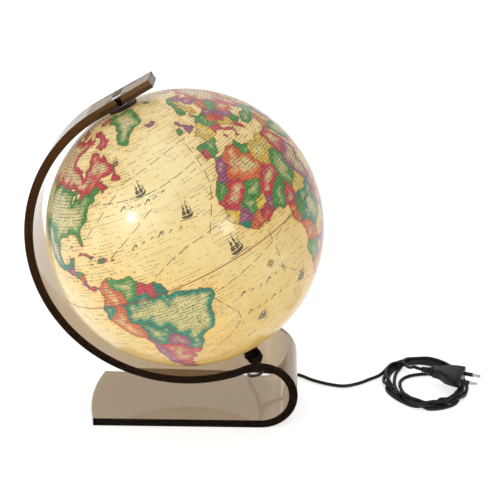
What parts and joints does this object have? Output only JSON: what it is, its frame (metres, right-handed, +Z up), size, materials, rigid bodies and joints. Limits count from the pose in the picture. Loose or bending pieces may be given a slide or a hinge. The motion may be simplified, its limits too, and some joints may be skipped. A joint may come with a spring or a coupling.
{
  "type": "desktop globe on stand",
  "caption": "Terrestrial globe turning on a tilted axis in a bent smoked-acrylic arm and foot, with an inside lamp, mains cord and flat plug.",
  "frame": {"origin": "on the table, under the middle of the stand and globe", "axes": "+Z up, the stand bends in the XZ plane with the foot's loop towards +X, and -Y is the viewed side"},
  "size_m": [0.5143, 0.3, 0.3925],
  "materials": {
    "smoked_acrylic": "polished, see-through brown-grey",
    "map_shell": "printed map under clear gloss",
    "black_plastic": "satin",
    "nylon": "plain",
    "soft_rubber": "plain",
    "steel": "plain",
    "brass": "plain",
    "porcelain": "glazed",
    "bulb_glass": "clear",
    "cord_jacket": "smooth PVC"
  },
  "bodies": {
    "stand": {"acrylic_stand": "smoked_acrylic", "north_pivot_pin": "steel", "pin_retaining_ring": "steel", "north_washer": "nylon", "holder_sleeve": "black_plastic", "holder_flange": "black_plastic", "seat_washer": "soft_rubber", "threaded_nipple": "brass", "inner_nut": "steel", "holder_insulator": "porcelain", "thread_shell": "brass", "centre_contact": "brass", "lower_washer": "steel", "lock_nut": "steel", "cord_gland": "black_plastic", "cord_lead": "cord_jacket", "bulb_glass": "bulb_glass", "bulb_cap": "steel", "bulb_tip": "steel", "bulb_stem": "bulb_glass", "bulb_filament": "steel", "mains_cord": "cord_jacket", "cord_coil": "cord_jacket", "plug_body": "cord_jacket", "plug_collar": "cord_jacket", "plug_pin_sleeve_near": "black_plastic", "plug_pin_near": "steel", "plug_pin_sleeve_far": "black_plastic", "plug_pin_far": "steel"},
    "globe": {"polar_cap_disc": "black_plastic", "north_bush": "black_plastic", "north_hemisphere": "map_shell", "south_hemisphere": "map_shell", "equator_joint_ring": "nylon", "south_bearing_ring": "black_plastic"}
  },
  "joints": [
    {"name": "globe_spin", "type": "hinge", "parent": "stand", "child": "globe", "pos_m": [0.01038, 0, 0.22225], "axis": [-0.4226, 0, 0.9063], "continuous": true}
  ]
}
